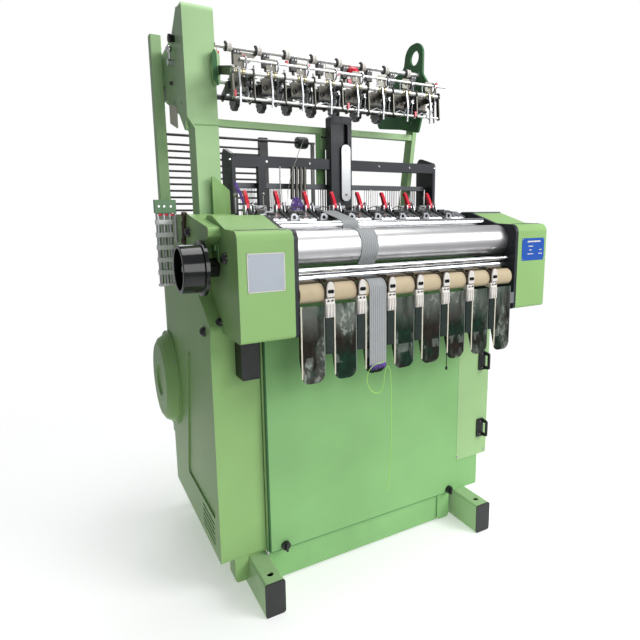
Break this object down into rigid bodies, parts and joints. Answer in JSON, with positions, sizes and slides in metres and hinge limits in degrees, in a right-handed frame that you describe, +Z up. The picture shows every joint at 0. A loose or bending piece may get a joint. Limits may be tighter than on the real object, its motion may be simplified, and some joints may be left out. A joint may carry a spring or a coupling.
{
  "type": "power loom",
  "caption": "Needle loom for narrow ribbons: drive column, take-up rollers, steel chutes, weaving heads, heddle frames and a yarn feeder on top.",
  "frame": {"origin": "middle of the machine's footprint on the floor", "axes": "+Z up, +Y towards the back of the machine, +X to the right as seen from the front"},
  "size_m": [1.204, 0.9785, 1.7993],
  "materials": {
    "green_paint": "glossy machine enamel",
    "dark_green_paint": "glossy machine enamel",
    "slate_paint": "hammered dark enamel",
    "black_plastic": "matte moulded",
    "white_plastic": "satin moulded",
    "red_plastic": "glossy moulded",
    "kraft_wrap": "matte fibre wrap",
    "mirror_steel": "polished stainless",
    "chrome_steel": "bright chrome",
    "knurled_steel": "fine grit blasted",
    "machined_steel": "satin machined",
    "aluminium_frame": "dark anodised extrusion",
    "grey_webbing": "woven",
    "grey_strap": "woven",
    "lime_thread": "soft spun"
  },
  "bodies": {
    "machine_frame": {"back_panel": "green_paint", "belt_guard": "green_paint", "breast_bed": "green_paint", "cabinet_handles": "black_plastic", "centre_box": "slate_paint", "chutes": "mirror_steel", "drop_levers": "machined_steel", "end_plates": "slate_paint", "eye_plate": "dark_green_paint", "feeder_plates": "machined_steel", "feeder_rods": "chrome_steel", "foot_beam_left": "green_paint", "foot_beam_right": "green_paint", "foot_caps": "black_plastic", "front_cover": "green_paint", "gantry_beam": "slate_paint", "gantry_plates": "slate_paint", "guide_bars": "chrome_steel", "guide_grid": "machined_steel", "head_box_left": "green_paint", "head_box_right": "green_paint", "kick_panel": "green_paint", "left_column": "green_paint", "left_tower": "green_paint", "lime_yarn": "lime_thread", "rear_post": "green_paint", "right_cabinet": "green_paint", "right_frame": "green_paint", "right_post": "green_paint", "ring_rod": "chrome_steel", "roller_clips": "white_plastic", "strap_rack": "machined_steel", "switch_box": "black_plastic", "weaving_heads": "machined_steel", "webbing": "grey_webbing", "wound_straps": "grey_strap"},
    "cover_knob_left": {"cover_knob_left": "black_plastic"},
    "cover_knob_right": {"cover_knob_right": "black_plastic"},
    "handwheel": {"handwheel": "black_plastic"},
    "take_up_roller": {"take_up_roller": "knurled_steel"},
    "chrome_roller": {"chrome_roller": "chrome_steel"},
    "lower_roller": {"lower_roller": "chrome_steel"},
    "press_roller": {"press_roller": "kraft_wrap"},
    "feeder_shaft": {"feeder_shaft": "machined_steel"},
    "feed_discs": {"feed_discs": "machined_steel"},
    "sley": {"sley": "machined_steel"},
    "weft_needles": {"weft_needles": "machined_steel"},
    "start_lever": {"start_lever": "chrome_steel"},
    "heddle_frame_1": {"heddle_frame_1": "aluminium_frame"},
    "heddle_frame_2": {"heddle_frame_2": "aluminium_frame"},
    "heddle_frame_3": {"heddle_frame_3": "aluminium_frame"},
    "clamp_lever_1": {"clamp_lever_1": "red_plastic"},
    "clamp_lever_2": {"clamp_lever_2": "red_plastic"},
    "clamp_lever_3": {"clamp_lever_3": "red_plastic"},
    "clamp_lever_4": {"clamp_lever_4": "red_plastic"},
    "clamp_lever_5": {"clamp_lever_5": "red_plastic"},
    "clamp_lever_6": {"clamp_lever_6": "red_plastic"},
    "clamp_lever_7": {"clamp_lever_7": "red_plastic"},
    "clamp_lever_8": {"clamp_lever_8": "red_plastic"}
  },
  "joints": [
    {"name": "cover_knob_left_turn", "type": "hinge", "parent": "machine_frame", "child": "cover_knob_left", "pos_m": [-0.335, -0.3234, 0.127], "axis": [0, 1, 0], "range_deg": [0, 90]},
    {"name": "cover_knob_right_turn", "type": "hinge", "parent": "machine_frame", "child": "cover_knob_right", "pos_m": [0.32, -0.3234, 0.127], "axis": [0, 1, 0], "range_deg": [0, 90]},
    {"name": "handwheel_spin", "type": "hinge", "parent": "machine_frame", "child": "handwheel", "pos_m": [-0.562, -0.2914, 1.004], "axis": [1, 0, 0], "continuous": true},
    {"name": "take_up_roller_spin", "type": "hinge", "parent": "machine_frame", "child": "take_up_roller", "pos_m": [0.064, -0.3884, 1.054], "axis": [1, 0, 0], "continuous": true},
    {"name": "chrome_roller_spin", "type": "hinge", "parent": "machine_frame", "child": "chrome_roller", "pos_m": [0.064, -0.3114, 1.112], "axis": [1, 0, 0], "continuous": true},
    {"name": "lower_roller_spin", "type": "hinge", "parent": "machine_frame", "child": "lower_roller", "pos_m": [0.064, -0.4214, 0.97272], "axis": [1, 0, 0], "continuous": true},
    {"name": "press_roller_spin", "type": "hinge", "parent": "machine_frame", "child": "press_roller", "pos_m": [0.064, -0.454, 0.936], "axis": [1, 0, 0], "continuous": true},
    {"name": "feeder_shaft_spin", "type": "hinge", "parent": "machine_frame", "child": "feeder_shaft", "pos_m": [0.064, 0.1806, 1.552], "axis": [1, 0, 0], "continuous": true},
    {"name": "feed_discs_spin", "type": "hinge", "parent": "machine_frame", "child": "feed_discs", "pos_m": [0.064, 0.0136, 1.562], "axis": [1, 0, 0], "continuous": true},
    {"name": "sley_rock", "type": "hinge", "parent": "machine_frame", "child": "sley", "pos_m": [0.064, -0.0364, 0.93], "axis": [1, 0, 0], "range_deg": [-4, 6]},
    {"name": "weft_needle_stroke", "type": "slide", "parent": "machine_frame", "child": "weft_needles", "axis": [1, 0, 0], "range_m": [0, 0.028]},
    {"name": "heddle_frame_1_lift", "type": "slide", "parent": "machine_frame", "child": "heddle_frame_1", "axis": [0, 0, 1], "range_m": [-0.03, 0.03]},
    {"name": "heddle_frame_2_lift", "type": "slide", "parent": "machine_frame", "child": "heddle_frame_2", "axis": [0, 0, 1], "range_m": [-0.03, 0.03]},
    {"name": "heddle_frame_3_lift", "type": "slide", "parent": "machine_frame", "child": "heddle_frame_3", "axis": [0, 0, 1], "range_m": [-0.03, 0.03]},
    {"name": "clamp_lever_1_release", "type": "hinge", "parent": "machine_frame", "child": "clamp_lever_1", "pos_m": [-0.361, -0.1594, 1.168], "axis": [1, 0, 0], "range_deg": [0, 55]},
    {"name": "clamp_lever_2_release", "type": "hinge", "parent": "machine_frame", "child": "clamp_lever_2", "pos_m": [-0.261, -0.1594, 1.168], "axis": [1, 0, 0], "range_deg": [0, 55]},
    {"name": "clamp_lever_3_release", "type": "hinge", "parent": "machine_frame", "child": "clamp_lever_3", "pos_m": [-0.161, -0.1594, 1.168], "axis": [1, 0, 0], "range_deg": [0, 55]},
    {"name": "clamp_lever_4_release", "type": "hinge", "parent": "machine_frame", "child": "clamp_lever_4", "pos_m": [-0.061, -0.1594, 1.168], "axis": [1, 0, 0], "range_deg": [0, 55]},
    {"name": "clamp_lever_5_release", "type": "hinge", "parent": "machine_frame", "child": "clamp_lever_5", "pos_m": [0.039, -0.1594, 1.168], "axis": [1, 0, 0], "range_deg": [0, 55]},
    {"name": "clamp_lever_6_release", "type": "hinge", "parent": "machine_frame", "child": "clamp_lever_6", "pos_m": [0.139, -0.1594, 1.168], "axis": [1, 0, 0], "range_deg": [0, 55]},
    {"name": "clamp_lever_7_release", "type": "hinge", "parent": "machine_frame", "child": "clamp_lever_7", "pos_m": [0.239, -0.1594, 1.168], "axis": [1, 0, 0], "range_deg": [0, 55]},
    {"name": "clamp_lever_8_release", "type": "hinge", "parent": "machine_frame", "child": "clamp_lever_8", "pos_m": [0.339, -0.1594, 1.168], "axis": [1, 0, 0], "range_deg": [0, 55]},
    {"name": "start_lever_throw", "type": "hinge", "parent": "machine_frame", "child": "start_lever", "pos_m": [-0.496, 0.1586, 1.64], "axis": [1, 0, 0], "range_deg": [-30, 30]}
  ],
  "couplings": [
    {"joint": "take_up_roller_spin", "follows": "handwheel_spin", "ratio": 0.25},
    {"joint": "chrome_roller_spin", "follows": "handwheel_spin", "ratio": 0.79688},
    {"joint": "press_roller_spin", "follows": "handwheel_spin", "ratio": 0.49039},
    {"joint": "lower_roller_spin", "follows": "handwheel_spin", "ratio": -0.6375},
    {"joint": "feeder_shaft_spin", "follows": "handwheel_spin", "ratio": 0.5},
    {"joint": "feed_discs_spin", "follows": "handwheel_spin", "ratio": 0.5}
  ]
}
